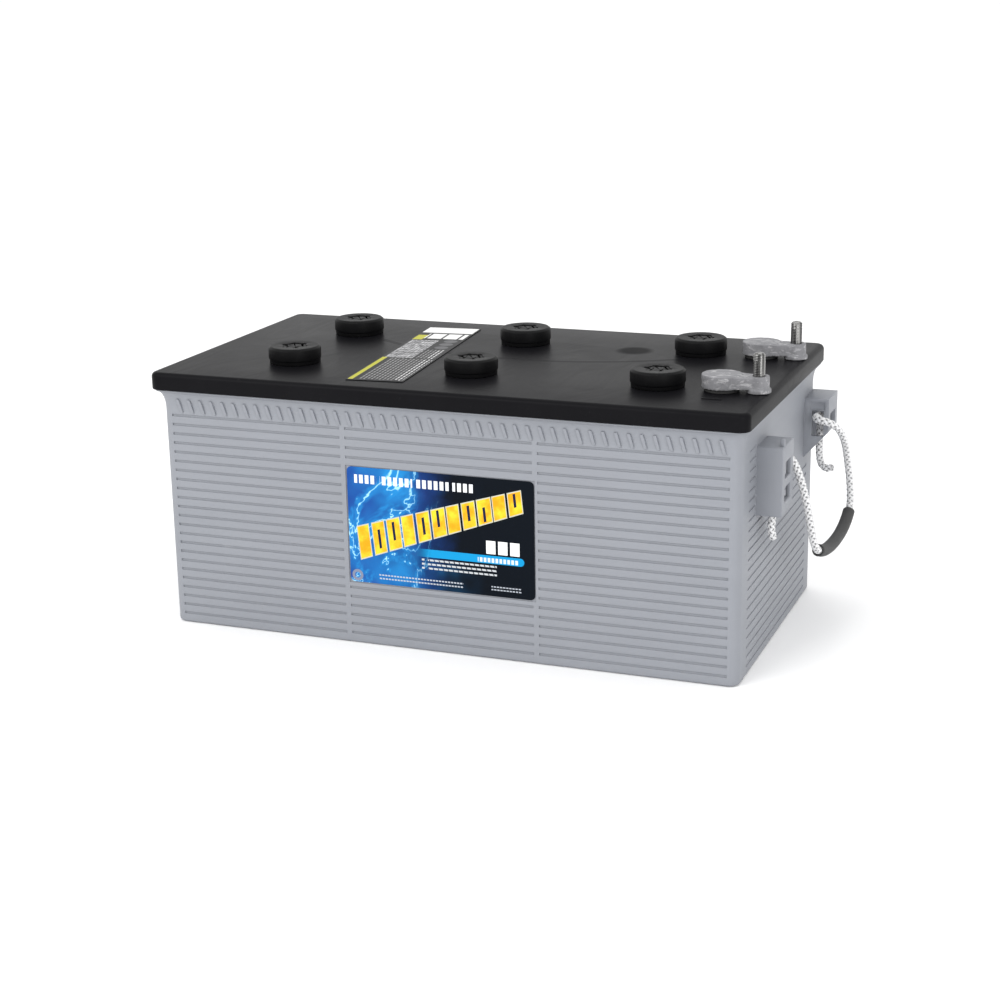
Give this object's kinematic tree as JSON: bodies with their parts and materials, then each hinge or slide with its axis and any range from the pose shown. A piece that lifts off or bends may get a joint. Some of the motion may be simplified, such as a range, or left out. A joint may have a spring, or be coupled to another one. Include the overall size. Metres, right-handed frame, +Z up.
{
  "type": "deep cycle battery",
  "caption": "Large ribbed deep cycle battery with a black lid, screw-in vent caps, stud terminals and a rope carrying handle at one end.",
  "frame": {"origin": "middle of the case's foot, on the surface that it stands on", "axes": "+X along the battery towards the terminals and the rope handle, +Y across it away from the labelled side, +Z up"},
  "size_m": [0.5534, 0.279, 0.254],
  "materials": {
    "case_grey": "fine moulded polypropylene, light grey",
    "lid_black": "satin moulded polypropylene, black",
    "cap_black": "satin black",
    "valve_rubber": "matt black",
    "arrestor_ceramic": "porous, off white",
    "cast_lead": "cast lead alloy, dull grey with brighter scuffs",
    "stud_steel": "stainless, rolled thread",
    "plate_stack": "lead plates between glass mats, matt",
    "front_label": "printed film, blue running into black",
    "lid_label": "printed film, black with white and yellow fields",
    "grip_rubber": "soft matt black",
    "rope_white": "white braided polyester"
  },
  "bodies": {
    "battery": {"case": "case_grey", "lid": "lid_black", "plate_stack_1": "plate_stack", "plate_stack_2": "plate_stack", "plate_stack_3": "plate_stack", "plate_stack_4": "plate_stack", "plate_stack_5": "plate_stack", "plate_stack_6": "plate_stack", "cell_link_1": "cast_lead", "cell_link_2": "cast_lead", "cell_link_3": "cast_lead", "cell_link_4": "cast_lead", "cell_link_5": "cast_lead", "post_negative": "cast_lead", "post_seal_negative": "valve_rubber", "lug_negative": "cast_lead", "stud_negative": "stud_steel", "post_positive": "cast_lead", "post_seal_positive": "valve_rubber", "lug_positive": "cast_lead", "stud_positive": "stud_steel", "front_label": "front_label", "lid_label": "lid_label", "rope_end_near": "rope_white", "rope_end_far": "rope_white"},
    "cap_1": {"vent_cap_1": "cap_black", "valve_seat_1": "cap_black", "flame_arrestor_1": "arrestor_ceramic"},
    "valve_1": {"relief_valve_1": "valve_rubber"},
    "cap_2": {"vent_cap_2": "cap_black", "valve_seat_2": "cap_black", "flame_arrestor_2": "arrestor_ceramic"},
    "valve_2": {"relief_valve_2": "valve_rubber"},
    "cap_3": {"vent_cap_3": "cap_black", "valve_seat_3": "cap_black", "flame_arrestor_3": "arrestor_ceramic"},
    "valve_3": {"relief_valve_3": "valve_rubber"},
    "cap_4": {"vent_cap_4": "cap_black", "valve_seat_4": "cap_black", "flame_arrestor_4": "arrestor_ceramic"},
    "valve_4": {"relief_valve_4": "valve_rubber"},
    "cap_5": {"vent_cap_5": "cap_black", "valve_seat_5": "cap_black", "flame_arrestor_5": "arrestor_ceramic"},
    "valve_5": {"relief_valve_5": "valve_rubber"},
    "cap_6": {"vent_cap_6": "cap_black", "valve_seat_6": "cap_black", "flame_arrestor_6": "arrestor_ceramic"},
    "valve_6": {"relief_valve_6": "valve_rubber"},
    "handle": {"handle_rope": "rope_white", "handle_grip": "grip_rubber"}
  },
  "joints": [
    {"name": "cap_1_turn", "type": "hinge", "parent": "battery", "child": "cap_1", "pos_m": [-0.1565, -0.065, 0.222], "axis": [0, 0, 1], "range_deg": [0, 90]},
    {"name": "valve_1_lift", "type": "slide", "parent": "cap_1", "child": "valve_1", "axis": [0, 0, 1], "range_m": [0, 0.0015], "stiffness_N_per_m": 500, "springref_m": -0.0005},
    {"name": "cap_2_turn", "type": "hinge", "parent": "battery", "child": "cap_2", "pos_m": [0.005, -0.065, 0.222], "axis": [0, 0, 1], "range_deg": [0, 90]},
    {"name": "valve_2_lift", "type": "slide", "parent": "cap_2", "child": "valve_2", "axis": [0, 0, 1], "range_m": [0, 0.0015], "stiffness_N_per_m": 500, "springref_m": -0.0005},
    {"name": "cap_3_turn", "type": "hinge", "parent": "battery", "child": "cap_3", "pos_m": [0.1645, -0.065, 0.222], "axis": [0, 0, 1], "range_deg": [0, 90]},
    {"name": "valve_3_lift", "type": "slide", "parent": "cap_3", "child": "valve_3", "axis": [0, 0, 1], "range_m": [0, 0.0015], "stiffness_N_per_m": 500, "springref_m": -0.0005},
    {"name": "cap_4_turn", "type": "hinge", "parent": "battery", "child": "cap_4", "pos_m": [-0.1565, 0.065, 0.222], "axis": [0, 0, 1], "range_deg": [0, 90]},
    {"name": "valve_4_lift", "type": "slide", "parent": "cap_4", "child": "valve_4", "axis": [0, 0, 1], "range_m": [0, 0.0015], "stiffness_N_per_m": 500, "springref_m": -0.0005},
    {"name": "cap_5_turn", "type": "hinge", "parent": "battery", "child": "cap_5", "pos_m": [0.005, 0.065, 0.222], "axis": [0, 0, 1], "range_deg": [0, 90]},
    {"name": "valve_5_lift", "type": "slide", "parent": "cap_5", "child": "valve_5", "axis": [0, 0, 1], "range_m": [0, 0.0015], "stiffness_N_per_m": 500, "springref_m": -0.0005},
    {"name": "cap_6_turn", "type": "hinge", "parent": "battery", "child": "cap_6", "pos_m": [0.1645, 0.065, 0.222], "axis": [0, 0, 1], "range_deg": [0, 90]},
    {"name": "valve_6_lift", "type": "slide", "parent": "cap_6", "child": "valve_6", "axis": [0, 0, 1], "range_m": [0, 0.0015], "stiffness_N_per_m": 500, "springref_m": -0.0005},
    {"name": "handle_swing", "type": "hinge", "parent": "battery", "child": "handle", "pos_m": [0.2615, 0.022, 0.168], "axis": [0, -1, 0], "range_deg": [0, 130]}
  ]
}
